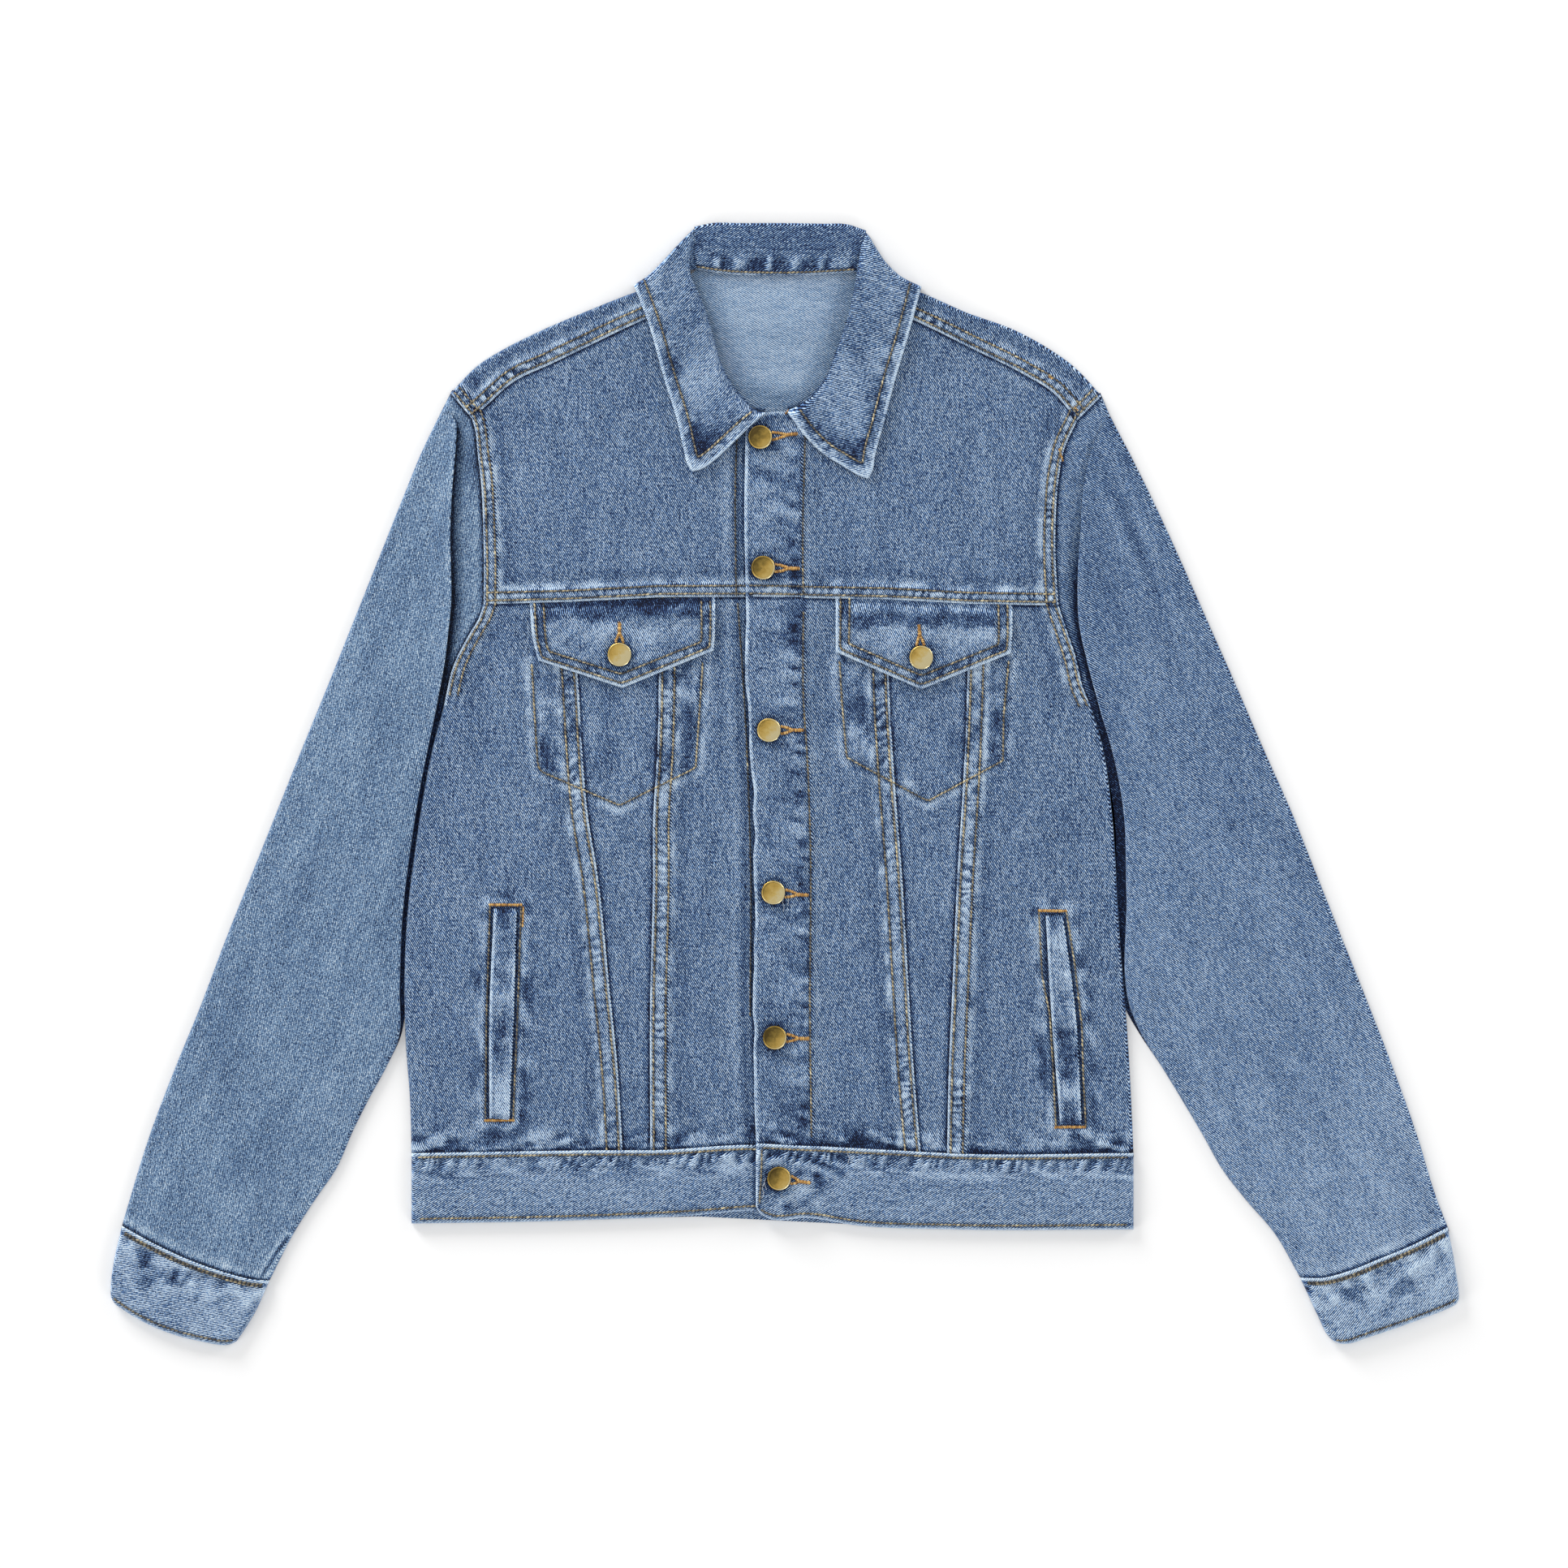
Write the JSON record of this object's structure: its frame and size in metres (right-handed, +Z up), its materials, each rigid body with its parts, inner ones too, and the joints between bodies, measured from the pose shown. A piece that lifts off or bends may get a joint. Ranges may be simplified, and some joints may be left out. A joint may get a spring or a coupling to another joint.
{
  "type": "denim jacket",
  "caption": "Denim trucker jacket laid flat, face up: pointed collar, buttoned placket, flap and welt pockets, slanted felled seams, waistband and cuffs.",
  "frame": {"origin": "middle of the bounding box, at the surface the jacket lies on", "axes": "+X to the wearer's left, +Y from the hem to the collar, +Z up from the surface"},
  "size_m": [0.9328, 0.7752, 0.0113],
  "materials": {
    "denim": "mid-blue washed denim twill, matt",
    "denim_light": "the same denim, washed paler, matt",
    "brass": "aged brass, satin"
  },
  "bodies": {
    "root": {"back": "denim", "collar": "denim", "front_yoke_right": "denim", "front_yoke_left": "denim", "front_centre_right": "denim", "front_centre_left": "denim", "front_wedge_right": "denim", "front_wedge_left": "denim", "front_side_right": "denim", "front_side_left": "denim", "pocket_flap_right": "denim", "pocket_flap_left": "denim", "welt_right": "denim", "welt_left": "denim", "sleeve_right": "denim", "sleeve_left": "denim", "cuff_right": "denim_light", "cuff_left": "denim_light", "waistband": "denim_light", "button_1": "brass", "button_2": "brass", "button_3": "brass", "button_4": "brass", "button_5": "brass", "button_6": "brass", "button_flap_right": "brass", "button_flap_left": "brass"}
  },
  "joints": []
}
